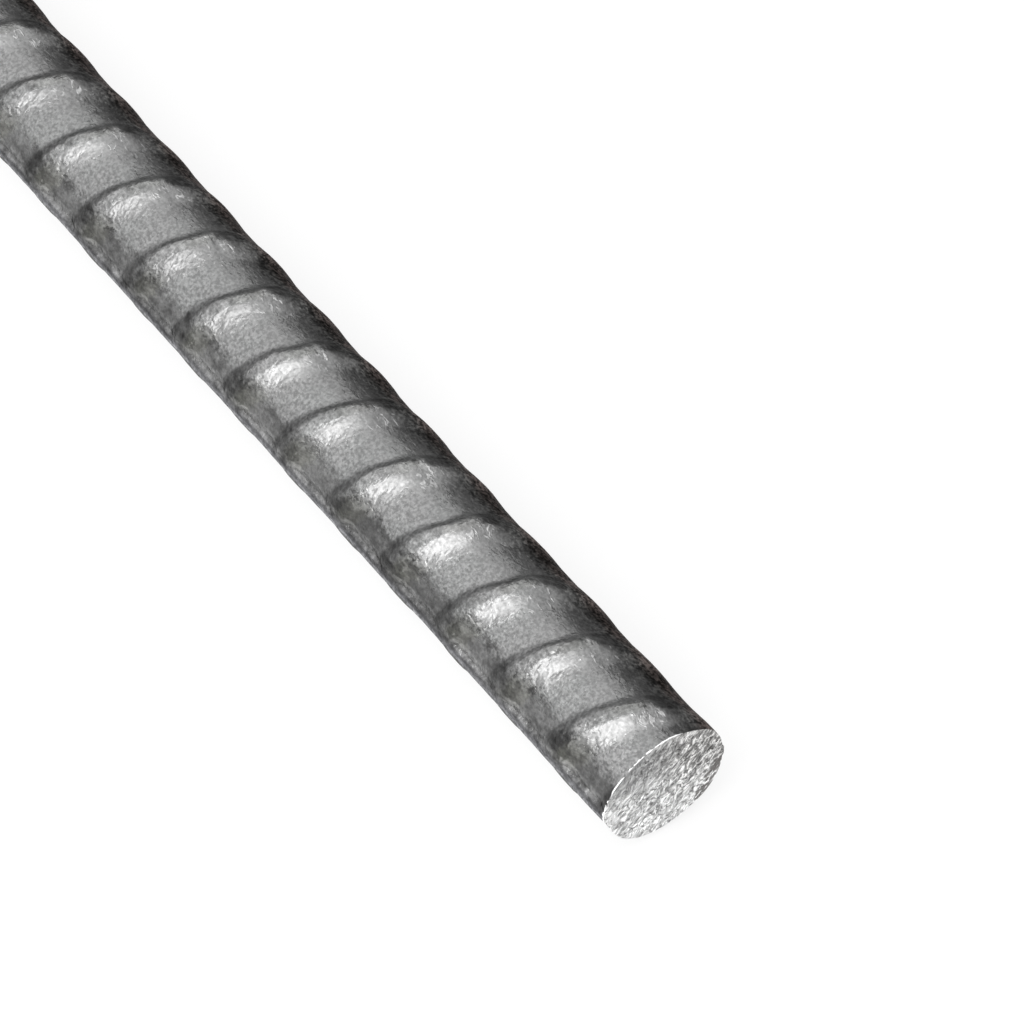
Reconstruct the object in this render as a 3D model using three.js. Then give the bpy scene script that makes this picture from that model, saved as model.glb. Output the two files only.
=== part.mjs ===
// Steel reinforcing bar with rolled-on ribs: half-inch (size 4), cut to a two-foot length.
// Millimetres. The bar lies along X with its lowest face on Z = 0, and X = 0 is half way along it.
//
// The section is one closed outline: a round core, and a longitudinal rib on each side of it, where
// the two rolls met. Each longitudinal rib has a rounded crest, straight flanks and filleted roots.
// Both ends are cut square.

import * as THREE from "three";

const BAR_LENGTH = 609.6; // two feet
const CORE_DIAMETER = 12.1; // body of the bar under its ribs
const LONG_RIB_HEIGHT = 0.45; // crest above the core
const LONG_RIB_CREST_WIDTH = 1.3; // across the crest, before its corners are rounded
const LONG_RIB_FLANK_SLOPE = THREE.MathUtils.degToRad(25); // flank away from the radial line
const CREST_CORNER_RADIUS = 0.33;
const ROOT_FILLET_RADIUS = 0.25;

// An odd number of core faces on each side puts one of them level, top and bottom.
const CORE_FACES = 15; // between one longitudinal rib and the other
const CREST_CORNER_FACES = 4;
const ROOT_FILLET_FACES = 3;

const SCALE_GREY = 0x6b6a67; // hot-rolled surface, dark grey mill scale
const SCALE_ROUGHNESS = 0.5;
const SCALE_METALNESS = 0.8;

const CORE_RADIUS = CORE_DIAMETER / 2;

/** Points along an arc, both ends included, with its angles in radians from the section's X axis. */
function arcPoints(centre, radius, startAngle, endAngle, faces) {
  return Array.from({ length: faces + 1 }, (_, i) => {
    const angle = THREE.MathUtils.lerp(startAngle, endAngle, i / faces);
    return new THREE.Vector2(Math.cos(angle), Math.sin(angle)).multiplyScalar(radius).add(centre);
  });
}

/** Upper half of the right-hand longitudinal rib, from its crest down to where it meets the core. */
function longRibSide() {
  const slope = LONG_RIB_FLANK_SLOPE;
  const down = new THREE.Vector2(-Math.cos(slope), Math.sin(slope)); // along the flank to its root
  const out = new THREE.Vector2(Math.sin(slope), Math.cos(slope)); // square to the flank, off the rib
  const crest = new THREE.Vector2(CORE_RADIUS + LONG_RIB_HEIGHT, LONG_RIB_CREST_WIDTH / 2);

  // The corner arc touches the crest and the flank.
  const cornerInset = (CREST_CORNER_RADIUS * (1 - out.x)) / out.y;
  const cornerCentre = crest.clone().sub(new THREE.Vector2(CREST_CORNER_RADIUS, cornerInset));
  const corner = arcPoints(cornerCentre, CREST_CORNER_RADIUS, 0, out.angle(), CREST_CORNER_FACES);

  // The root fillet touches the flank and the core: its centre lies its own radius off the flank
  // and the two radii from the bar's axis.
  const start = crest.clone().addScaledVector(out, ROOT_FILLET_RADIUS);
  const reach = CORE_RADIUS + ROOT_FILLET_RADIUS;
  const along = start.dot(down);
  const travel = -along - Math.sqrt(along ** 2 - start.lengthSq() + reach ** 2);
  const filletCentre = start.addScaledVector(down, travel);
  const coreAngle = filletCentre.angle();
  const fillet = arcPoints(
    filletCentre,
    ROOT_FILLET_RADIUS,
    out.angle() + Math.PI,
    coreAngle + Math.PI,
    ROOT_FILLET_FACES,
  );
  return { points: [...corner, ...fillet], coreAngle };
}

/** Outline of the section, anticlockwise from the right-hand longitudinal rib. */
function sectionOutline() {
  const { points: ribSide, coreAngle } = longRibSide();
  const origin = new THREE.Vector2();
  const core = arcPoints(origin, CORE_RADIUS, coreAngle, Math.PI - coreAngle, CORE_FACES);
  const farRibSide = ribSide.map(({ x, y }) => new THREE.Vector2(-x, y)).reverse();
  const upperHalf = [...ribSide, ...core.slice(1, -1), ...farRibSide];
  const lowerHalf = upperHalf.map(({ x, y }) => new THREE.Vector2(-x, -y));
  return [...upperHalf, ...lowerHalf];
}

const outline = sectionOutline();
const axisHeight = -Math.min(...outline.map(({ y }) => y));

const barGeometry = new THREE.ExtrudeGeometry(new THREE.Shape(outline), {
  depth: BAR_LENGTH,
  bevelEnabled: false,
});
const millScale = new THREE.MeshStandardMaterial({
  color: SCALE_GREY,
  roughness: SCALE_ROUGHNESS,
  metalness: SCALE_METALNESS,
});

const bar = new THREE.Mesh(barGeometry, millScale);
bar.name = "reinforcing_bar";
bar.up.set(0, 0, 1);
bar.lookAt(1, 0, 0); // the extrusion runs along +X, with the section upright
bar.position.set(-BAR_LENGTH / 2, 0, axisHeight);

const part = new THREE.Group();
part.add(bar);

export default part;
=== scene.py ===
import math

import bmesh
import bpy
import numpy as np
from mathutils import Matrix, Vector


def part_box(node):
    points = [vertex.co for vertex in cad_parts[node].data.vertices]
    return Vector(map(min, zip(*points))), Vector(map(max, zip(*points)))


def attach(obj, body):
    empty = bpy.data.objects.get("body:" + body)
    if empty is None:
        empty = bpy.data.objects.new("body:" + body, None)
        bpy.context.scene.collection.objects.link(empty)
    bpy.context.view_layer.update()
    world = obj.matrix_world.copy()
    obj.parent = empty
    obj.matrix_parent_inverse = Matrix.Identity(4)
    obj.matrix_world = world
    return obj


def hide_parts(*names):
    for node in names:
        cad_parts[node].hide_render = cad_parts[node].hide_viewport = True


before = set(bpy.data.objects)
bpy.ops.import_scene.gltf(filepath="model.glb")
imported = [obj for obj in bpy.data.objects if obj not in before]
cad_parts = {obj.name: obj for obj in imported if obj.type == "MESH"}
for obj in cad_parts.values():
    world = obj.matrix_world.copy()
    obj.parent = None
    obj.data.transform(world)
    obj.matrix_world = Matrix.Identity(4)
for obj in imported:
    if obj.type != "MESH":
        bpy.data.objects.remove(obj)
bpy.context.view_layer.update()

MM = 0.001
NODE = "reinforcing_bar"
low_corner, high_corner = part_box(NODE)
HALF_LENGTH = high_corner[0] / MM
AXIS_HEIGHT = (low_corner[2] + high_corner[2]) / 2 / MM

# ---------------------------------------------------------------- sizes, in millimetres and degrees
# Angles round the bar run from the -Y longitudinal rib over the top, or underneath, to the +Y one at 180.
CORE_RADIUS = 6.05
LONG_RIB_HEIGHT = 0.45
LONG_RIB_CREST = 0.46  # half the rib's width where its rounded crest begins to fall
LONG_RIB_FOOT = 1.02  # and where it has run out into the core
ACROSS_RADIUS = CORE_RADIUS + 0.3  # radius at which widths across a longitudinal rib are taken

RIB_PITCH = 8.31
RIB_HEIGHT = 0.62  # half way between the longitudinal ribs
# Height at which the ribs meet a longitudinal rib: upper and lower ribs, on the -Y side and on the +Y side.
RIB_END_HEIGHT = ((0.44, 0.23), (0.16, 0.23))
RIB_TILT = 0.0445  # advance along the bar for each degree round it
LINE_BOW = 0.20  # by which the ribs' lines run ahead of that, over the top
LINE_BOW_ZONE = (66, 84, 88, 102)
RIB_LINE = -6.52  # steep flank of the rib nearest the end seen, from that end
RIB_LINE_ANGLE = 65.5  # and the angle round the bar at which it is there
RIB_AHEAD = 0.10  # share of the pitch by which a rib's own stretch begins ahead of its line
RIB_HEIGHT_SPREAD = 0.05  # as a share, from rib to rib
RIB_PLACE_SPREAD = 0.05
JOIN_SPREAD = 0.12  # rounding where the transverse ribs run into a longitudinal rib

# A rib's profile, each size with what is added to it at the -Y and +Y longitudinal ribs,
# and the zones round the bar over which that is added.
FLANK_FOOT = 1.08  # steep flank, from its foot
FLANK_FOOT_NEAR, FLANK_FOOT_NEAR_ZONE = 0.30, (44, 76)
FLANK_FOOT_FAR = 0.70
FLANK_TOP = 0.62  # to its top
FLANK_TOP_NEAR, FLANK_TOP_NEAR_ZONE = 0.20, (25, 65)
FLANK_TOP_FAR = 1.40
FLANK_FAR_ZONE = (97, 119)
FLANK_HOLLOW = 0.25  # by how much the power that hollows the flank is above 1
CREST_END = 1.66  # end of the crest, from the middle of the steep flank
CREST_END_NEAR = 0.67
CREST_END_FAR = 1.27
FOOT_RUN = 2.70  # gentle flank, from the crest's end to where it has run out into the valley
FOOT_RUN_NEAR = -1.30
FOOT_RUN_FAR = 0.50
CREST_NEAR_ZONE = (22, 48)
CREST_FAR_ZONE = (95, 150)
SHOULDER = 0.24  # rounding of the crest's gentle edge

# On the +Y side the last ribs before the end seen are shallower.
SHALLOW_FROM = (-35.0, -18.0)  # where that begins and where it is complete, from that end
SHALLOW_ZONE = (118, 146)
SHALLOW_VALLEY = 0.18  # how much higher the valleys stand there
SHALLOW_LOSS = 0.40  # and the share of their own height that the ribs lose

DARK_END = 2.30  # end of the dark scale on the ribs' -Y ends, past the middle of the steep flank
DARK_END_SLOPES = (0.042, 0.100)  # less these for each degree up to the first angle and past the second
DARK_END_ANGLES = (19, 33)
STAIN_END = 2.80  # end of the stain beyond it
STAIN_END_SLOPE, STAIN_END_ANGLE = 0.10, 22  # less this for each degree past the angle
STAIN_END_LOSS, STAIN_LOSS_ZONE = 0.50, (11, 16)  # and less this beside the longitudinal rib

# Unevenness of the surface and of the ribs' lines: typical wavelength and size.
SWELL_LENGTH, SWELL_SIZE = 14.0, 0.020
RIPPLE_LENGTH, RIPPLE_SIZE = 3.5, 0.007
DRIFT_LENGTH, DRIFT_SIZE = 6.0, 0.06

# Rows across one pitch, from the middle of the steep flank.
ROWS = (-1.05, -0.62, -0.32, -0.08, 0.14, 0.38, 0.72, 1.30, 1.78, 2.40, 3.25, 4.60)
END_ZONE = 9.0  # over which the rows turn from the ribs' tilt to the square end
END_ROW = 0.30
# Columns beside a longitudinal rib, across it from its middle line.
RIB_COLUMNS = (0.0, 0.30, 0.48, 0.60, 0.71, 0.82, 0.95, 1.12)
BODY_COLUMNS = 33

BURR = 0.23  # width of the bright edge that the cut leaves
CUT_LIP, LIP_REACH = 0.18, 0.7  # by which the shear drew the bar out low on the -Y side, and from how far
LIP_ZONE = (-88, -62, -45, -25)  # where that is, in degrees from the -Y longitudinal rib, minus underneath
CUT_LEAN_DOWN, CUT_LEAN_ASIDE = 0.12, 0.05  # by which the cut leans out at the bottom and at the +Y side
CUT_REACH = 1.5  # over which the rows beside the cut follow it
CUT_RIDGE_DIRECTION = math.radians(42)  # of the torn ridges, above +Y
CUT_RIDGE_SCATTER = 0.33
CUT_RIDGE_LENGTHS = (0.55, 1.5)
CUT_RIDGE_SIZE = 0.016  # for each millimetre of wavelength
CUT_RIDGES = 40
RIM_CALM = 0.85  # share of the ridges that is lost at the rim
RIM_ZONE = (0.80, 0.98)  # and where that happens, as shares of the radius
CAP_PARTS = 3  # cells of a cut end for each column at its rim
CAP_INSET = 0.985  # size of the cut end's grid inside its rim
SHARP_EDGE = math.radians(60)

rng = np.random.default_rng(20)


# ---------------------------------------------------------------- the bar's surface
def smooth(a, b, x):
    """0 at a and 1 at b, with level ends."""
    t = np.clip((x - a) / (b - a), 0, 1)
    return t * t * (3 - 2 * t)


def band(a, b, c, d, v):
    """1 from b to c, and 0 before a and after d."""
    return smooth(a, b, v) * (1 - smooth(c, d, v))


class Waves:
    """Gentle seeded unevenness over the bar's surface, of one typical wavelength."""

    def __init__(self, wavelength, count=28):
        self.along = rng.normal(0, 1, count) / wavelength * 2 * math.pi
        turns = CORE_RADIUS / wavelength * 2 * math.pi
        self.around = np.round(rng.normal(0, 1, count) * turns)
        self.phase = rng.uniform(0, 2 * math.pi, count)
        self.size = math.sqrt(2 / count)

    def __call__(self, along, angle):
        total = np.zeros(np.broadcast(along, angle).shape)
        for a, n, p in zip(self.along, self.around, self.phase):
            total += np.sin(a * along + n * angle + p)
        return total * self.size


swell, ripple, line_drift = Waves(SWELL_LENGTH), Waves(RIPPLE_LENGTH), Waves(DRIFT_LENGTH)
RIBS = int(2 * HALF_LENGTH / RIB_PITCH) + 4
rib_scale = rng.normal(1, RIB_HEIGHT_SPREAD, (2, RIBS))
rib_shift = rng.normal(0, RIB_PLACE_SPREAD, (2, RIBS))


def round_half(angle):
    """Degrees from the -Y longitudinal rib, 0 to 180 over the top and back to 0 underneath."""
    return np.degrees(np.abs((angle + math.pi) % (2 * math.pi) - math.pi))


def tilt(angle):
    """How far the ribs have advanced along the bar at this angle round it."""
    half = round_half(angle)
    return RIB_TILT * (half - 90) + LINE_BOW * band(*LINE_BOW_ZONE, half)


def rib_profile(v, angle):
    """Share of a rib's height, v past the middle of its steep flank."""
    half = round_half(angle)
    near = 1 - smooth(*CREST_NEAR_ZONE, half)
    far = smooth(*CREST_FAR_ZONE, half)
    widened = smooth(*FLANK_FAR_ZONE, half)
    foot = FLANK_FOOT + FLANK_FOOT_NEAR * (1 - smooth(*FLANK_FOOT_NEAR_ZONE, half)) + FLANK_FOOT_FAR * widened
    top = FLANK_TOP + FLANK_TOP_NEAR * (1 - smooth(*FLANK_TOP_NEAR_ZONE, half)) + FLANK_TOP_FAR * widened
    crest_end = CREST_END + CREST_END_NEAR * near + CREST_END_FAR * far
    run = FOOT_RUN + FOOT_RUN_NEAR * near + FOOT_RUN_FAR * far
    power = 1 + FLANK_HOLLOW * (1 - widened)
    rise = smooth(0, 1, np.clip((v + foot) / (foot + top), 0, 1) ** power)
    t = np.clip((v - crest_end) / run, 0, 1)
    shoulder = smooth(crest_end - SHOULDER, crest_end + SHOULDER, v)
    fall = 1 - shoulder * (1 - (1 - t) ** 2)
    return rise * fall


def rib_height(angle):
    """Full height of the transverse ribs at this angle."""
    upper, near = np.sin(angle) >= 0, np.cos(angle) > 0
    (upper_near, upper_far), (lower_near, lower_far) = RIB_END_HEIGHT
    ends = np.where(upper, np.where(near, upper_near, upper_far), np.where(near, lower_near, lower_far))
    return ends + (RIB_HEIGHT - ends) * np.abs(np.sin(angle)) ** 3


def surface(x, angle):
    """Radius of the bar there, and how far past a rib's steep flank it is."""
    level = np.sin(angle)
    across = np.abs(ACROSS_RADIUS * level)
    # The crest is flat, so its radius grows away from the rib's middle. The limit keeps it finite elsewhere.
    crest = (CORE_RADIUS + LONG_RIB_HEIGHT) / np.maximum(np.abs(np.cos(angle)), 0.9) - CORE_RADIUS
    long_rib = crest * (1 - smooth(LONG_RIB_CREST, LONG_RIB_FOOT, across))

    from_end = x - HALF_LENGTH
    base = RIB_LINE + tilt(angle) - RIB_TILT * (RIB_LINE_ANGLE - 90)
    base = base + DRIFT_SIZE * line_drift(x, angle)
    side = (level < 0).astype(int)
    behind = (base - from_end) / RIB_PITCH
    number = np.clip(np.ceil(behind - RIB_AHEAD).astype(int) + 1, 0, RIBS - 1)
    v = from_end - base + (number - 1) * RIB_PITCH - rib_shift[side, number]
    rib = rib_profile(v, angle) * rib_scale[side, number] * rib_height(angle)
    shallow = smooth(*SHALLOW_FROM, from_end) * smooth(*SHALLOW_ZONE, round_half(angle))
    rib = rib * (1 - SHALLOW_LOSS * shallow) + SHALLOW_VALLEY * shallow

    # The ribs run into the longitudinal ribs and never stand above a join with them twice.
    difference = np.clip((rib - long_rib) / JOIN_SPREAD, -1, 1)
    joined = np.maximum(rib, long_rib) + JOIN_SPREAD / 4 * (1 - np.abs(difference)) ** 2
    unevenness = SWELL_SIZE * swell(x, angle) + RIPPLE_SIZE * ripple(x, angle)
    below = np.degrees(angle % (2 * math.pi)) - 360
    lip = CUT_LIP * smooth(LIP_REACH, 0.0, HALF_LENGTH - np.abs(x)) * band(*LIP_ZONE, below)
    return CORE_RADIUS + joined - JOIN_SPREAD / 4 + unevenness + lip, v


def wear_and_painted_light(v, angle):
    """Where the surface differs, for the material, as wear and as painted light and shade: each name's share,
    v past a steep flank's middle.
    """
    half = round_half(angle)
    beside = 1 - smooth(34, 50, half)
    dark_end = (
        DARK_END
        - DARK_END_SLOPES[0] * np.minimum(half, DARK_END_ANGLES[0])
        - DARK_END_SLOPES[1] * np.maximum(half - DARK_END_ANGLES[1], 0)
    )
    near_dark = 0.71 * (1 - smooth(30, 60, half)) * band(-0.95, -0.30, dark_end - 0.2, dark_end + 0.5, v)
    # Painted shade over the steep flanks and crests on the +Y side.
    far_crest_shade = band(96, 110, 113, 150, half) * band(-0.70, -0.20, 1.30, 2.00, v)
    stain_end = (
        STAIN_END
        - STAIN_END_SLOPE * np.maximum(half - STAIN_END_ANGLE, 0)
        - STAIN_END_LOSS * (1 - smooth(*STAIN_LOSS_ZONE, half))
    )
    stain_fall = np.clip(0.57 - (v - stain_end) / 0.8, -1, 1)
    tint_rise, tint_fall = np.clip((v - 0.85) / 1.2, -1, 1), np.clip(0.4 - (v - 3.8) / 1.2, -1, 1)
    last = smooth(119, 127, half)
    crest_start = 2.0 * smooth(101, 106, half) - 3.75 * last
    return {
        # The ribs' steep flanks: rougher, and darkened as painted shade.
        "steep_flank": band(-1.10, -0.45, 0.10, 0.62, v) * smooth(20, 42, half) * (1 - smooth(95, 120, half)),
        # The ribs' gentle flanks: worn, and given a painted highlight.
        "worn_and_highlit_flank": band(CREST_END - 0.14, CREST_END + 0.16, 2.2, 5.0, v),
        # Darker at the ribs' -Y ends, with painted shade over the +Y side's crests.
        "rib_end_dark_and_crest_shade": near_dark + far_crest_shade,
        "rib_end_stain": beside * smooth(dark_end - 0.3, dark_end + 0.3, v) * stain_fall,
        "rib_end_tint": np.minimum(tint_rise, tint_fall),
        # Painted highlight on the longitudinal rib just past the ribs' ends.
        "rib_end_highlight": band(2.15, 2.70, 3.40, 4.60, v),
        # Painted highlight where the crest ends beside the -Y longitudinal rib.
        "rib_end_edge_highlight": beside * band(2.10, 2.30, 2.36, 2.60, v),
        "crest": band(0.20, 0.55, 1.25, 1.60, v),
        "long_rib": band(0.20, 0.40, 1.00, 1.30, ACROSS_RADIUS * np.abs(np.sin(angle))),
        # Painted shade in the valleys and steep flanks from the top over the +Y side.
        "far_valley_shade": smooth(79, 91, half) * (1 - band(0.10, 0.70, 2.4, 4.2, v)),
        "far_crest": smooth(90, 103, half) * band(crest_start, crest_start + 0.7, 2.9, 4.8 - 1.0 * last, v),
        # Painted shade in the valleys low on the +Y side.
        "far_lower_valley_shade": smooth(114, 124, half) * band(3.0, 4.2, 5.2, 7.0, v),
    }


# ---------------------------------------------------------------- the cut ends
# Torn ridges across them: each wave's wavelength, the direction across it, and its phase.
cut_waves = [
    (
        rng.uniform(*CUT_RIDGE_LENGTHS),
        CUT_RIDGE_DIRECTION + math.pi / 2 + rng.normal(0, CUT_RIDGE_SCATTER),
        rng.uniform(0, 2 * math.pi),
    )
    for _ in range(CUT_RIDGES)
]


def end_relief(y, z, sign):
    """How far the cut end stands beyond square, ridges and all."""
    lift = CUT_LEAN_DOWN * (-z / CORE_RADIUS) + CUT_LEAN_ASIDE * y / CORE_RADIUS
    ridges = 0.0
    for wavelength, direction, phase in cut_waves:
        across = y * math.cos(direction) * sign + z * math.sin(direction)
        ridges = ridges + wavelength * np.sin(2 * math.pi / wavelength * across + phase + sign)
    inside = 1 - RIM_CALM * smooth(*RIM_ZONE, np.hypot(y, z) / CORE_RADIUS)
    return lift + CUT_RIDGE_SIZE * ridges * inside


def finer_rim(rim):
    """The rim with CAP_PARTS points for each of its own."""
    columns = len(rim)
    return np.array(
        [
            rim[k // CAP_PARTS] * (1 - k % CAP_PARTS / CAP_PARTS)
            + rim[(k // CAP_PARTS + 1) % columns] * (k % CAP_PARTS / CAP_PARTS)
            for k in range(columns * CAP_PARTS)
        ]
    )


def cut_end(rim):
    """A cut end's grid of points inside a rim of (y, z) points: a square grid drawn out to the rim."""
    fine_rim = finer_rim(rim)
    side = len(fine_rim) // 4
    step = np.arange(side + 1) / side * 2 - 1
    a, b = np.meshgrid(step, step, indexing="ij")
    share = np.maximum(np.abs(a), np.abs(b))
    with np.errstate(divide="ignore", invalid="ignore"):
        along = np.where(share > 0, np.where(np.abs(a) >= np.abs(b), b / a, a / b), 0)
    # Place round the square, in quarters of its outline from the middle of its first side.
    quarter = np.select(
        [(np.abs(a) >= np.abs(b)) & (a > 0), (np.abs(b) >= np.abs(a)) & (b > 0), np.abs(a) >= np.abs(b)],
        [along / 2, 1 - along / 2, 2 + along / 2],
        3 - along / 2,
    )
    turn = (quarter / 4) % 1.0
    index = turn * len(fine_rim)
    low = np.floor(index).astype(int) % len(fine_rim)
    part = (index - np.floor(index))[..., None]
    out = fine_rim[low] * (1 - part) + fine_rim[(low + 1) % len(fine_rim)] * part
    uniform = 2 * math.pi * turn
    round_point = CORE_RADIUS * np.stack([-np.cos(uniform), np.sin(uniform)], -1)
    weight = (share**4)[..., None]
    return share[..., None] * (out * weight + round_point * (1 - weight))


def end_faces(side, start, rim_start, columns):
    """Faces of a cut end's grid, whose first vertex is start, and of the strip between it and its rim."""

    def at(i, j):
        return start + i * (side + 1) + j

    steps = range(side)
    faces = [(at(i, j), at(i + 1, j), at(i + 1, j + 1), at(i, j + 1)) for i in steps for j in steps]
    # The grid's outline, from the middle of its first side, in the direction of the columns.
    half = side // 2
    outline = (
        [at(side, j) for j in range(half, side)]
        + [at(i, side) for i in range(side, 0, -1)]
        + [at(0, j) for j in range(side, 0, -1)]
        + [at(i, 0) for i in range(side)]
        + [at(side, j) for j in range(half)]
    )
    for j in range(columns):
        a, b = rim_start + j, rim_start + (j + 1) % columns
        grid = [outline[(CAP_PARTS * j + k) % len(outline)] for k in range(CAP_PARTS + 1)]
        faces += [(a, grid[0], grid[1]), (a, *grid[1:-1], b), (b, grid[-2], grid[-1])]
    return faces


# ---------------------------------------------------------------- the bar's mesh
def column_angles():
    """Angles of the mesh's columns, once round the bar."""
    beside = [math.asin(c / ACROSS_RADIUS) for c in RIB_COLUMNS]
    body = np.linspace(beside[-1], math.pi - beside[-1], BODY_COLUMNS + 2)[1:-1]
    quarter = beside + list(body) + [math.pi - b for b in reversed(beside[1:])]
    return np.array(quarter + [math.pi + a for a in quarter])


def row_places():
    """Rows along the bar, as the place each would have where the ribs' tilt is nil."""
    end_rows = int(round(END_ZONE / END_ROW))
    first = HALF_LENGTH + RIB_LINE - RIB_TILT * (RIB_LINE_ANGLE - 90)
    inner = HALF_LENGTH - END_ZONE
    gap = END_ROW / 2
    places = [first - k * RIB_PITCH + v for k in range(-1, RIBS) for v in ROWS]
    places = [p for p in places if -inner + gap < p < inner - gap]
    rib_edge_highlight = np.append(np.linspace(inner, HALF_LENGTH, end_rows + 1), HALF_LENGTH - BURR)
    return np.array(sorted([*places, *rib_edge_highlight, *-rib_edge_highlight]))


def side_faces(rows, columns):
    """Quads of the body's grid, closed round the bar."""
    faces = []
    for i in range(rows - 1):
        for j in range(columns):
            a, b = i * columns + j, i * columns + (j + 1) % columns
            faces.append((a, a + columns, b + columns, b))
    return faces


def store_shares(mesh, shares):
    """Keep each share as an attribute of the mesh's points; the cut ends, which come last, get 0."""
    for name, values in shares.items():
        spread = np.zeros(len(mesh.vertices), dtype=np.float32)
        spread[: values.size] = values.ravel()
        mesh.attributes.new(name, "FLOAT", "POINT").data.foreach_set("value", spread)


def turn_faces_out(mesh):
    """Turn every face outward, and say whether the surface is closed."""
    turned = bmesh.new()
    turned.from_mesh(mesh)
    bmesh.ops.recalc_face_normals(turned, faces=turned.faces)
    open_edges = sum(not e.is_manifold for e in turned.edges)
    turned.to_mesh(mesh)
    turned.free()
    print("bar:", len(mesh.loop_triangles), "triangles,", open_edges, "open edges")


def build_bar():
    rows, angles = row_places(), column_angles()
    u, angle = np.meshgrid(rows, angles, indexing="ij")
    beyond = np.maximum(np.abs(u) - (HALF_LENGTH - END_ZONE), 0) / END_ZONE
    x = u + tilt(angle) * (1 - beyond)
    radius, past = surface(x, angle)
    y, z = -radius * np.cos(angle), radius * np.sin(angle)

    # The cut wanders a little off square, and the rows beside it follow.
    for sign in (1, -1):
        near = np.clip((sign * x - (HALF_LENGTH - CUT_REACH)) / CUT_REACH, 0, 1)
        x = x + sign * near * end_relief(y, z, sign)

    blocks = [np.stack([x, y, AXIS_HEIGHT + z], -1).reshape(-1, 3)]
    sides, ends = side_faces(len(rows), len(angles)), []
    for sign, row in ((1, len(rows) - 1), (-1, 0)):
        flat = cut_end(np.stack([y[row], z[row]], -1)) * CAP_INSET
        height = HALF_LENGTH + end_relief(flat[..., 0], flat[..., 1], sign)
        start = sum(len(block) for block in blocks)
        ends += end_faces(len(flat) - 1, start, row * len(angles), len(angles))
        points = np.stack([sign * height, flat[..., 0], AXIS_HEIGHT + flat[..., 1]], -1)
        blocks.append(points.reshape(-1, 3))

    mesh = bpy.data.meshes.new("bar")
    mesh.from_pydata((np.concatenate(blocks) * MM).tolist(), [], sides + ends)
    mesh.polygons.foreach_set("use_smooth", np.ones(len(mesh.polygons), dtype=bool))
    slots = np.repeat([0, 1], [len(sides), len(ends)]).astype(np.int32)
    mesh.polygons.foreach_set("material_index", slots)
    at_rim = np.abs(u) > HALF_LENGTH - BURR / 2
    store_shares(mesh, {**wear_and_painted_light(past, angle), "burr": 1.0 * at_rim})
    mesh.update()
    turn_faces_out(mesh)
    mesh.set_sharp_from_angle(angle=SHARP_EDGE)
    return mesh


# ---------------------------------------------------------------- materials
DEGREES = 180 / math.pi


def grey(level, warmth=0.0):
    return (level * (1 + warmth), level, level * (1 - warmth), 1)


class Nodes:
    """Short hand for one material's node tree. Noise scales are in cells per metre."""

    def __init__(self, name):
        self.material = bpy.data.materials.new(name)
        self.material.use_nodes = True
        self.tree = self.material.node_tree
        self.tree.nodes.clear()

    def add(self, kind, inputs=None, **settings):
        node = self.tree.nodes.new("ShaderNode" + kind)
        for key, value in settings.items():
            setattr(node, key, value)
        for key, value in (inputs or {}).items():
            self.feed(node.inputs[key], value)
        return node

    def feed(self, socket, value):
        if isinstance(value, bpy.types.NodeSocket):
            self.tree.links.new(value, socket)
        else:
            socket.default_value = value

    def math(self, operation, a, b=0.0):
        return self.add("Math", {0: a, 1: b}, operation=operation).outputs[0]

    def times(self, a, b):
        return self.math("MULTIPLY", a, b)

    def plus(self, a, *others):
        for b in others:
            a = self.math("ADD", a, b)
        return a

    def centred(self, noise, size=1.0):
        """A noise about 0, times a size."""
        return self.times(self.plus(noise, -0.5), size)

    def noise(self, vector, scale, detail=3.0, rough=0.55, warp=0.0):
        return self.add(
            "TexNoise",
            {"Vector": vector, "Scale": scale, "Detail": detail, "Roughness": rough, "Distortion": warp},
        ).outputs["Fac"]

    def attribute(self, name):
        return self.add("Attribute", attribute_name=name).outputs["Fac"]

    def stretch(self, vector, scale):
        return self.add("Mapping", {"Vector": vector, "Scale": scale}).outputs[0]

    def ramp(self, value, low, high, out_low=0.0, out_high=1.0):
        return self.add(
            "MapRange",
            {"Value": value, "From Min": low, "From Max": high, "To Min": out_low, "To Max": out_high},
            interpolation_type="SMOOTHSTEP",
        ).outputs["Result"]

    def band(self, value, a, b, c, d, most=1.0):
        """The most from b to c, and 0 before a and after d."""
        return self.times(self.ramp(value, a, b), self.ramp(value, d, c, 0.0, most))

    def mix(self, share, a, b, blend="MIX"):
        node = self.add("Mix", {"Factor": share}, data_type="RGBA", blend_type=blend)
        self.feed(node.inputs[6], a)
        self.feed(node.inputs[7], b)
        return node.outputs[2]

    def shade(self, tone, factor):
        """A tone times one number."""
        factors = self.add("CombineColor", {0: factor, 1: factor, 2: factor}).outputs[0]
        return self.mix(1.0, tone, factors, "MULTIPLY")

    def section_place(self):
        """A place in the object, how far it is toward +Y, and its height above the bar's axis."""
        place = self.add("TexCoord").outputs["Object"]
        axes = self.add("SeparateXYZ", {0: place}).outputs
        return place, axes[1], self.plus(axes[2], -AXIS_HEIGHT * MM)

    def bump(self, height):
        return self.add("Bump", {"Strength": 1.0, "Distance": 1.0, "Height": height}).outputs[0]

    def blend(self, share, a, b):
        return self.add("MixShader", {0: share, 1: a.outputs[0], 2: b.outputs[0]}).outputs[0]

    def finish(self, shader):
        self.add("OutputMaterial", {"Surface": shader})
        return self.material


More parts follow.
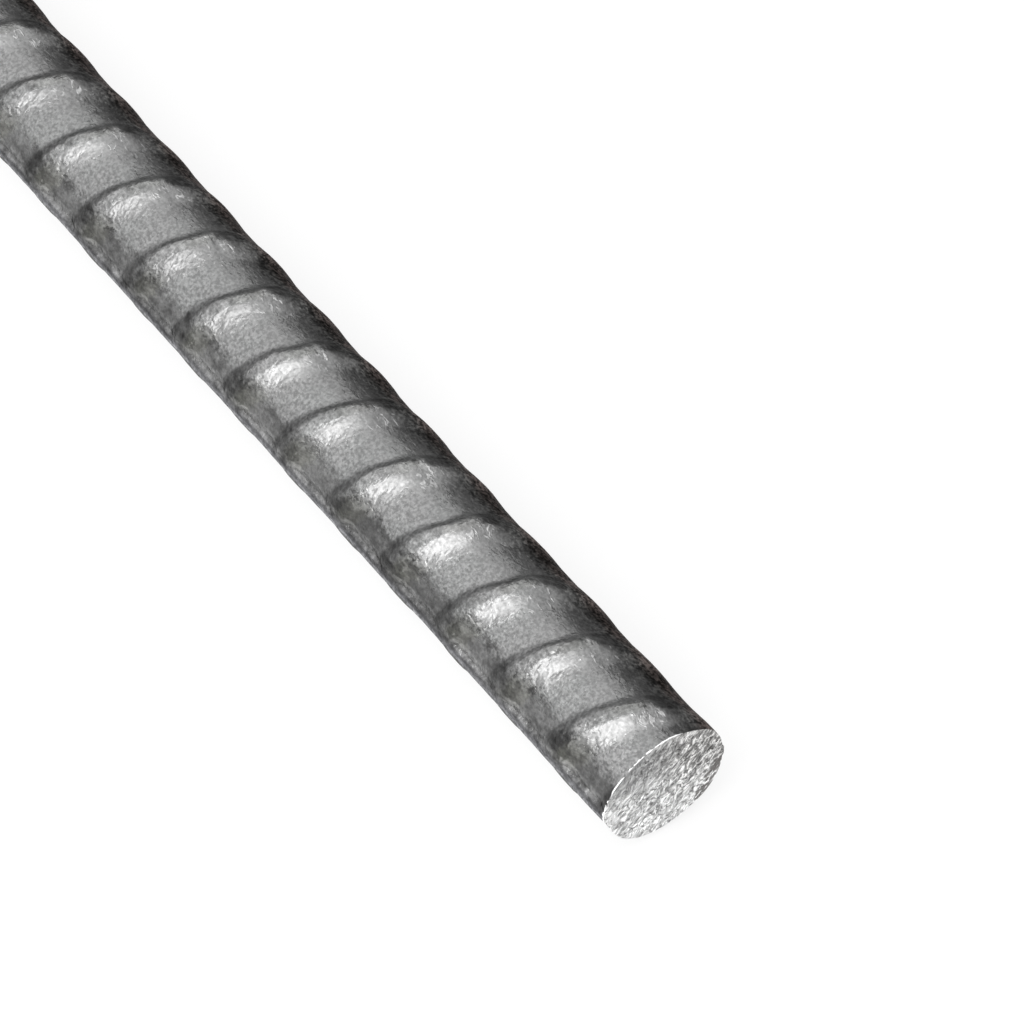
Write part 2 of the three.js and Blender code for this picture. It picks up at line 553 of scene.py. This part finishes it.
class MillScale(Nodes):
    """The bar's skin. Angles are in degrees from the top, minus toward -Y, and mirrored on the lower half."""

    SCALE = grey(0.114, 0.003), grey(0.208, 0.002)
    # Painted highlights on the longitudinal rib's corners and crest.
    LONG_RIB_CREST = grey(0.32), grey(0.84)
    # Painted shade of the +Y side, partly brown as rust: by the top, lower down and at the longitudinal rib.
    SHADED_FAR_TOP = (0.0245, 0.0245, 0.0240, 1), (0.112, 0.111, 0.108, 1)
    SHADED_FAR_SIDE = (0.026, 0.0225, 0.0210, 1), (0.124, 0.103, 0.097, 1)
    SHADED_FAR_EDGE = (0.078, 0.070, 0.066, 1), (0.165, 0.146, 0.137, 1)
    STAIN = grey(0.086), (0.116, 0.117, 0.113, 1)
    # Painted sheen along the top, with rubbed wear.
    RUBBED_SHEEN = grey(0.221), grey(0.259)
    # Painted highlight on the ribs' gentle flanks, with rubbed metal.
    PATCH_HIGHLIGHT = grey(0.235), grey(0.290)
    CHIP = grey(0.42)
    # Painted highlight on the edge of the ribs' -Y ends.
    RIB_EDGE_HIGHLIGHT = grey(0.24)
    # Tints, which multiply a tone.
    RUBBED_SHEEN_TINT = (0.994, 1.003, 1.000, 1)
    OLIVE_TINT = (1.019, 1.019, 0.965, 1)
    BLUE_TINT = (0.985, 0.988, 1.030, 1)

    def __init__(self):
        super().__init__("mill_scale")
        place, aside, height = self.section_place()
        self.turn = self.times(self.math("ARCTAN2", aside, height), DEGREES)
        self.from_top = self.times(self.math("ARCTAN2", aside, self.math("ABSOLUTE", height)), DEGREES)
        self.from_crown = self.math("ABSOLUTE", self.from_top)

        self.grain = self.noise(place, 4200.0, 1.0, 0.5)
        self.speckle = self.noise(place, 2900.0, 1.0, 0.5, 0.2)
        self.fine = self.noise(place, 2300.0, 2.0, 0.5, 0.4)
        self.medium = self.noise(place, 900.0)
        self.broad = self.noise(place, 230.0, 3.0, 0.5)
        self.by_rib = self.noise(place, 75.0, 1.0, 0.5)
        self.drawn = self.noise(self.stretch(place, (0.35, 1.0, 1.0)), 2000.0, 2.0, 0.5, 0.3)
        self.wrinkle = self.noise(self.stretch(place, (1.0, 0.60, 0.60)), 1900.0, 1.0, 0.4, 0.4)
        self.chip = self.noise(self.stretch(place, (0.5, 1.0, 1.0)), 1500.0, 2.0, 0.6, 0.8)
        self.uneven = self.plus(self.fine, self.medium, -1.0)

        # Lighter along the top, between two soft and uneven edges, and on the ribs' gentle flanks: rubbed
        # wear and a painted sheen.
        self.where = self.jagged(24.0, 12.0)
        # The ribs' gentle flanks: worn, and where the tone paints their highlight.
        self.worn_and_highlit = self.share("worn_and_highlit_flank")
        rubbed_sheen_edge = self.plus(self.jagged(36.0, 24.0), self.times(self.worn_and_highlit, 3.0))
        self.rubbed_and_sheen = self.times(self.ramp(rubbed_sheen_edge, -60.0, -50.0), self.ramp(self.where, 27.0, -8.0))
        by_crown = self.band(self.where, -14.0, -2.0, 14.0, 26.0)
        self.chipped = self.times(self.ramp(self.chip, 0.56, 0.66), by_crown)
        # The +Y side, whose tone is darkened as painted shade.
        self.far_side = self.ramp(self.jagged(0.0, 20.0), 14.0, 42.0)

    def jagged(self, by_medium, by_fine):
        """The angle from the top, made uneven by these many degrees of two noises."""
        medium, fine = self.centred(self.medium, by_medium), self.centred(self.fine, by_fine)
        return self.plus(self.from_top, medium, fine)

    def share(self, name, low=0.30, high=0.70):
        """An attribute of the mesh with an uneven edge."""
        return self.ramp(self.plus(self.attribute(name), self.times(self.uneven, 1.1)), low, high)

    def long_rib_highlight(self):
        """Painted highlights on the longitudinal rib's upper corner, its crest and its lower corner: how
        bright each is.
        """
        return self.plus(
            self.band(self.from_crown, 74.5, 77.5, 79.0, 82.0, 0.15),
            self.ramp(self.from_crown, 85.0, 88.0, 0.0, 0.10),
            self.band(self.turn, -101.0, -96.0, -94.0, -87.5, 0.55),
        )

    def far_shaded_tone(self):
        """Scale of the +Y side, darkened as painted shade and partly brown as rust: grey-black by the top,
        brown-black lower, paler at the longitudinal rib.
        """
        blotch = self.ramp(self.plus(self.fine, self.medium, self.speckle), 1.25, 1.75)
        tone = self.mix(blotch, *self.SHADED_FAR_TOP)
        tone = self.mix(self.ramp(self.from_top, 30.0, 48.0), tone, self.mix(blotch, *self.SHADED_FAR_SIDE))
        return self.mix(self.ramp(self.from_top, 62.0, 86.0), tone, self.mix(blotch, *self.SHADED_FAR_EDGE))

    def scale_tone(self):
        """The scale where it isn't rubbed, with painted highlights on the longitudinal rib, painted shade
        over the +Y side and the stains at the ribs' ends.
        """
        tone = self.mix(self.ramp(self.plus(self.broad, self.medium), 0.80, 1.20), *self.SCALE)
        long_rib_highlight_tone = self.mix(self.ramp(self.fine, 0.3, 0.7), *self.LONG_RIB_CREST)
        tone = self.mix(self.long_rib_highlight(), tone, long_rib_highlight_tone)
        tone = self.mix(self.far_side, tone, self.far_shaded_tone())
        short_of_rib = self.ramp(self.from_crown, 82.0, 87.0, 0.9, 0.0)
        stained = self.times(self.share("rib_end_stain", 0.40, 0.75), short_of_rib)
        return self.mix(stained, tone, self.mix(self.ramp(self.medium, 0.40, 0.60), *self.STAIN))

    # Tone of the top: rubbed wear and painted sheen, lighter than the scale.
    def rubbed_sheen_tone(self):
        tone = self.mix(self.ramp(self.plus(self.grain, self.speckle), 0.80, 1.20), *self.RUBBED_SHEEN)
        return self.mix(self.ramp(self.broad, 0.42, 0.58), tone, self.RUBBED_SHEEN_TINT, "MULTIPLY")

    def base_tone(self):
        """Scale and rubbed metal with its painted sheen, the bright patches with their painted highlight,
        their chips, and the painted highlight on the edge of the ribs' ends.
        """
        tone = self.mix(self.rubbed_and_sheen, self.scale_tone(), self.rubbed_sheen_tone())
        # Bright patches on the gentle flanks: rubbed metal and a painted highlight.
        highlight_patch = self.times(self.worn_and_highlit, self.band(self.where, -58.0, -51.0, -28.0, 22.0))
        tone = self.mix(highlight_patch, tone, self.mix(self.ramp(self.by_rib, 0.35, 0.65), *self.PATCH_HIGHLIGHT))
        tone = self.mix(self.times(self.chipped, self.worn_and_highlit), tone, self.CHIP)
        # Painted highlight on the edge of the ribs' -Y ends.
        rib_edge_highlight = self.times(self.share("rib_end_edge_highlight", 0.90, 1.15), self.ramp(self.where, -46.0, -52.0))
        return self.mix(rib_edge_highlight, tone, self.RIB_EDGE_HIGHLIGHT)

    def speck(self):
        """What multiplies the tone: fine specks, painted shade on the steep flanks and over the +Y side's
        crests and valleys, a painted highlight beside the longitudinal rib, and other darker and lighter
        parts of the ribs.
        """
        smoother = self.ramp(self.where, -35.0, -5.0, 1.0, 0.5)
        grains = self.ramp(self.grain, 0.3, 0.7, -0.13, 0.13)
        coarse = self.plus(grains, self.ramp(self.speckle, 0.3, 0.7, -0.14, 0.14))
        speck = self.plus(self.times(coarse, self.plus(smoother, self.times(self.far_side, 1.6))), 1.0)
        crestward = self.ramp(self.from_crown, 76.0, 89.0, 1.0, 0.0)
        beside_rib = self.band(self.from_crown, 75.0, 77.5, 81.0, 84.0)
        for share, factor in (
            # Darker at the ribs' -Y ends, and painted shade over the +Y side's crests.
            (self.times(self.attribute("rib_end_dark_and_crest_shade"), crestward), 0.50),
            # Painted shade in the +Y side's valleys.
            (self.share("far_lower_valley_shade"), 0.74),
            (self.attribute("far_valley_shade"), 0.85),
            (self.share("far_crest", 0.1, 0.9), 1.38),
            # Painted shade on the ribs' steep flanks, darker toward the -Y side.
            (self.attribute("steep_flank"), self.ramp(self.from_top, -46.0, -4.0, 0.74, 1.0)),
            # Painted highlight beside the longitudinal rib, past the ribs' ends.
            (self.times(self.attribute("rib_end_highlight"), beside_rib), 1.33),
        ):
            speck = self.times(speck, self.ramp(share, 0.0, 1.0, 1.0, factor))
        ribs = self.plus(self.attribute("crest"), self.times(self.attribute("long_rib"), 0.6))
        mottled = self.times(self.plus(self.medium, self.chip, -1.0), ribs)
        speck = self.times(speck, self.plus(self.times(mottled, 1.4), 1.0))
        # Painted shade: a darker line along the longitudinal rib's crest, where the mesh has no groove.
        from_shade_line = self.math("ABSOLUTE", self.plus(self.from_crown, -86.8))
        return self.times(speck, self.ramp(from_shade_line, 3.2, 0.6, 1.0, 0.86))

    def tinted(self, tone):
        """Olive at the ribs' -Y ends and a little on their crests, bluish on the longitudinal ribs."""
        near_end = self.band(self.from_top, -88.0, -70.0, -64.0, -42.0)
        rib_end = self.times(self.share("rib_end_tint", 0.0, 0.8), near_end)
        crest = self.times(self.attribute("crest"), self.band(self.from_top, -24.0, -12.0, 2.0, 14.0, 0.3))
        tone = self.mix(self.plus(rib_end, crest), tone, self.OLIVE_TINT, "MULTIPLY")
        return self.mix(self.ramp(self.from_crown, 82.0, 88.0), tone, self.BLUE_TINT, "MULTIPLY")

    def relief(self):
        """Height of the skin's fine relief."""
        calm = self.ramp(self.worn_and_highlit, 0.0, 1.0, 1.0, 0.25)
        rough = self.plus(self.times(self.far_side, 1.8), self.times(self.attribute("long_rib"), 0.4))
        by_rib = self.ramp(self.by_rib, 0.35, 0.65, 1.3, 0.5)
        wrinkled = self.times(self.worn_and_highlit, self.times(self.ramp(self.where, -60.0, -50.0), by_rib))
        wrinkled = self.times(wrinkled, self.ramp(self.where, -24.0, 0.0, 1.0, 0.45))
        wrinkled = self.plus(self.times(wrinkled, 0.54), self.times(self.attribute("crest"), 0.5))
        return self.plus(
            self.times(self.grain, 0.015 * MM),
            self.times(self.centred(self.fine, 0.045 * MM), calm),
            self.times(self.centred(self.fine, 0.10 * MM), rough),
            self.times(self.centred(self.drawn, 0.04 * MM), calm),
            self.times(self.medium, 0.035 * MM),
            self.times(self.centred(self.wrinkle, 0.19 * MM), wrinkled),
            self.times(self.chipped, 0.02 * MM),
        )

    def roughness(self):
        return self.plus(
            self.ramp(self.fine, 0.3, 0.7, 0.20, 0.34),
            self.times(self.attribute("steep_flank"), 0.16),
            self.times(self.worn_and_highlit, self.ramp(self.where, -40.0, -12.0, 0.02, 0.13)),
            self.times(self.ramp(self.from_top, -5.0, 45.0), 0.25),
        )

    def burr(self):
        """Where the cut's bright edge is left, bright metal and a painted highlight: broken, and nearly gone
        on the +Y side.
        """
        kept = self.times(self.attribute("burr"), self.ramp(self.from_top, 30.0, 5.0, 0.2, 1.0))
        return self.ramp(self.times(kept, self.plus(self.times(self.uneven, 3.2), 1.0)), 0.40, 0.66)


def mill_scale():
    n = MillScale()
    skin = n.add(
        "BsdfPrincipled",
        {
            "Base Color": n.tinted(n.shade(n.base_tone(), n.speck())),
            "Metallic": 1.0,
            "Roughness": n.roughness(),
            "Specular Tint": grey(0.45),
            "Normal": n.bump(n.relief()),
        },
    )
    # The cut's bright edge: bright metal with a painted highlight.
    burr_metal_and_highlight = n.add("BsdfPrincipled", {"Base Color": grey(0.90), "Metallic": 0.2, "Roughness": 0.5})
    return n.finish(n.blend(n.burr(), skin, burr_metal_and_highlight))


class CutSteel(Nodes):
    """The sheared ends: torn ridges, smoother where the cut began; painted lighter over the lower half, with
    painted light on raised parts and painted shade in sunk parts and crevices.
    """

    # Painted light and shade: raised parts lighter and sunk ones darker, the lower half and the upper +Y side
    # lighter.
    UPPER_LIT_RAISED = grey(0.49), grey(0.75, 0.01)  # raised parts of the upper half, at -Y and at +Y
    UPPER_SHADED_SUNK = grey(0.20), grey(0.19, 0.02)  # and sunk ones
    LOWER_LIT_RAISED = grey(1.0)
    LOWER_SHADED_SUNK = grey(0.56), grey(0.64)
    DIRT = (0.10, 0.09, 0.085, 1)
    DIRT_TURN = 124.0  # where the dirt is on the rim, in degrees from the top toward +Y

    def __init__(self):
        super().__init__("cut_steel")
        place, self.aside, self.up = self.section_place()
        to_ridges = {"Vector": place, "Rotation": (-CUT_RIDGE_DIRECTION, 0, 0)}
        ridge_wise = self.add("Mapping", to_ridges).outputs[0]
        drawn_out = self.stretch(ridge_wise, (1.0, 0.45, 1.0))
        self.clod = self.noise(drawn_out, 3500.0, 1.0, 0.5, 0.5)
        self.ridge = self.noise(self.stretch(ridge_wise, (1.0, 0.30, 1.0)), 1500.0, 2.0, 0.5, 0.5)
        self.fine = self.noise(place, 5200.0, 1.0, 0.5)
        self.crevice = self.math("ABSOLUTE", self.plus(self.noise(drawn_out, 2600.0, 1.0, 0.5, 0.6), -0.5))
        self.wander = self.centred(self.noise(place, 260.0, 2.0, 0.5), 8.0 * MM)
        # The first part of the cut, at the top of the -Y side, is the smoother.
        from_start = self.plus(self.times(self.aside, 0.8), self.times(self.up, -1.0), self.wander)
        self.torn = self.ramp(from_start, -6.0 * MM, 3.0 * MM)
        self.raised = self.plus(
            self.centred(self.clod, 1.2), self.centred(self.ridge, 0.8), self.centred(self.fine, 0.3)
        )

    def height(self):
        rough = self.plus(self.times(self.torn, 0.68), 0.31)
        return self.plus(
            self.times(self.times(self.clod, rough), 0.48 * MM),
            self.times(self.times(self.ridge, rough), 0.68 * MM),
            self.times(self.fine, 0.02 * MM),
            self.times(self.ramp(self.crevice, 0.0, 0.08), 0.08 * MM),
        )

    def lit_and_shaded_tone(self):
        above = self.ramp(self.plus(self.times(self.aside, 0.3), self.up, self.wander), -3.0 * MM, 3.0 * MM)
        across = self.ramp(self.aside, -3.0 * MM, 3.0 * MM)
        light = self.mix(above, self.LOWER_LIT_RAISED, self.mix(across, *self.UPPER_LIT_RAISED))
        dark = self.mix(above, self.mix(across, *self.LOWER_SHADED_SUNK), self.mix(across, *self.UPPER_SHADED_SUNK))
        # Painted light and shade: raised parts take the lit tone, sunk parts the shaded one.
        contrast = self.plus(self.times(self.torn, 0.72), 0.32)
        tone = self.mix(self.ramp(self.times(self.raised, contrast), -0.10, 0.12), dark, light)
        # Painted shade in the crevices.
        crevice_shade = self.plus(self.crevice, self.times(self.torn, -0.010))
        return self.shade(tone, self.ramp(crevice_shade, 0.0, 0.045, 0.30, 1.0))

    def dirt(self):
        """The share of dirt on the rim, low on the +Y side."""
        out = self.math("SQRT", self.plus(self.times(self.aside, self.aside), self.times(self.up, self.up)))
        turn = self.times(self.math("ARCTAN2", self.aside, self.up), DEGREES)
        away = self.math("ABSOLUTE", self.plus(turn, -self.DIRT_TURN))
        away = self.plus(away, self.centred(self.ridge, 40.0))
        widened = self.ramp(away, 30.0, 4.0, 0.0, 0.6 * MM)
        reach = self.plus(out, self.times(self.raised, -4.0 * MM), widened)
        at_rim = self.ramp(reach, 5.8 * MM, 6.3 * MM)
        return self.times(self.times(self.ramp(away, 32.0, 16.0), at_rim), 0.80)


def cut_steel():
    n = CutSteel()
    shader = n.add(
        "BsdfPrincipled",
        {
            "Base Color": n.mix(n.dirt(), n.lit_and_shaded_tone(), n.DIRT),
            "Metallic": 0.6,
            "Roughness": 0.42,
            "Normal": n.bump(n.height()),
        },
    )
    return n.finish(shader.outputs[0])


# ---------------------------------------------------------------- the piece
bar = bpy.data.objects.new("ribbed_bar", build_bar())
bpy.context.scene.collection.objects.link(bar)
bar.data.materials.append(mill_scale())
bar.data.materials.append(cut_steel())
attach(bar, "root")
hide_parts(NODE)


# ---------------------------------------------------------------- floor, lights and camera, in metres
FLOOR_HALF_WIDTH = 30.0
FLOOR_WHITE = 0.80  # share of the floor, where it is seen, that is plain white; the rest keeps the shadow
WORLD_LEVEL = 0.36
LIT_POINT = Vector((HALF_LENGTH * MM, 0, AXIS_HEIGHT * MM))  # middle of the cut end seen
LENS, SENSOR_WIDTH = 202.86, 36  # in millimetres
CAMERA_OFFSET = Vector((0.23161, -0.18452, 0.40487))  # from the lit point
CAMERA_FORWARD = Vector((-0.50764, 0.36859, -0.77874)).normalized()


def pale_floor():
    """A pale lit floor that is mostly plain white where it is seen, straight or mirrored."""
    n = Nodes("pale_floor")
    lit = n.add("BsdfDiffuse", {"Color": grey(0.9)})
    white = n.add("Emission", {"Color": grey(1.0), "Strength": 1.0})
    ray = n.add("LightPath").outputs
    seen = n.plus(ray["Is Camera Ray"], ray["Is Glossy Ray"], ray["Is Transmission Ray"])
    share = n.times(n.math("MINIMUM", seen, 1.0), FLOOR_WHITE)
    return n.finish(n.blend(share, lit, white))


def make_floor():
    """The bar rests on the crests of its lowest transverse ribs."""
    lowest = min(v.co.z for v in bar.data.vertices)
    size = FLOOR_HALF_WIDTH
    mesh = bpy.data.meshes.new("floor")
    corners = [(-size, -size), (size, -size), (size, size), (-size, size)]
    mesh.from_pydata([(x, y, lowest) for x, y in corners], [], [(0, 1, 2, 3)])
    mesh.materials.append(pale_floor())
    floor = bpy.data.objects.new("floor", mesh)
    bpy.context.scene.collection.objects.link(floor)


def section_direction(degrees, along=0.0):
    """A direction in the bar's section, in degrees from the -Y side over the top."""
    a = math.radians(degrees)
    return Vector((along, -math.cos(a), math.sin(a))).normalized()


def soft_box(name, toward, distance, around, along, radiance):
    """An area light of even radiance facing the bar's seen end, its sides round and along the bar."""
    light = bpy.data.lights.new(name, "AREA")
    light.shape = "RECTANGLE"
    light.size, light.size_y = around, along
    light.energy = radiance * math.pi * around * along
    box = bpy.data.objects.new(name, light)
    bar_wise = (Vector((1, 0, 0)) - toward * toward.x).normalized()
    turned = Matrix((bar_wise.cross(toward), bar_wise, toward)).transposed().to_4x4()
    turned.translation = LIT_POINT + toward * distance
    box.matrix_world = turned
    box.visible_camera = False
    bpy.context.scene.collection.objects.link(box)


def make_world():
    world = bpy.data.worlds.new("studio")
    world.use_nodes = True
    world.node_tree.nodes["Background"].inputs["Color"].default_value = grey(WORLD_LEVEL)
    bpy.context.scene.world = world


def make_camera():
    """The photo's camera, held level."""
    camera = bpy.data.objects.new("camera", bpy.data.cameras.new("camera"))
    camera.data.lens = LENS
    camera.data.sensor_width = SENSOR_WIDTH
    camera.data.clip_start, camera.data.clip_end = 0.01, 100
    right = CAMERA_FORWARD.cross(Vector((0, 0, 1))).normalized()
    up = right.cross(CAMERA_FORWARD)
    placed = Matrix((right, up, -CAMERA_FORWARD)).transposed().to_4x4()
    placed.translation = LIT_POINT + CAMERA_OFFSET
    camera.matrix_world = placed
    bpy.context.scene.collection.objects.link(camera)
    return camera


make_floor()
soft_box("back_box", section_direction(70, -0.445), distance=1.1, around=2.9, along=2.12, radiance=1.04)
soft_box("top_box", section_direction(46, 0.12), distance=1.0, around=1.10, along=0.75, radiance=2.6)
soft_box("front_box", section_direction(53, 1.15), distance=1.2, around=0.5, along=0.5, radiance=9.0)
make_world()
bpy.context.scene.camera = make_camera()
bpy.context.scene.view_settings.view_transform = "Standard"
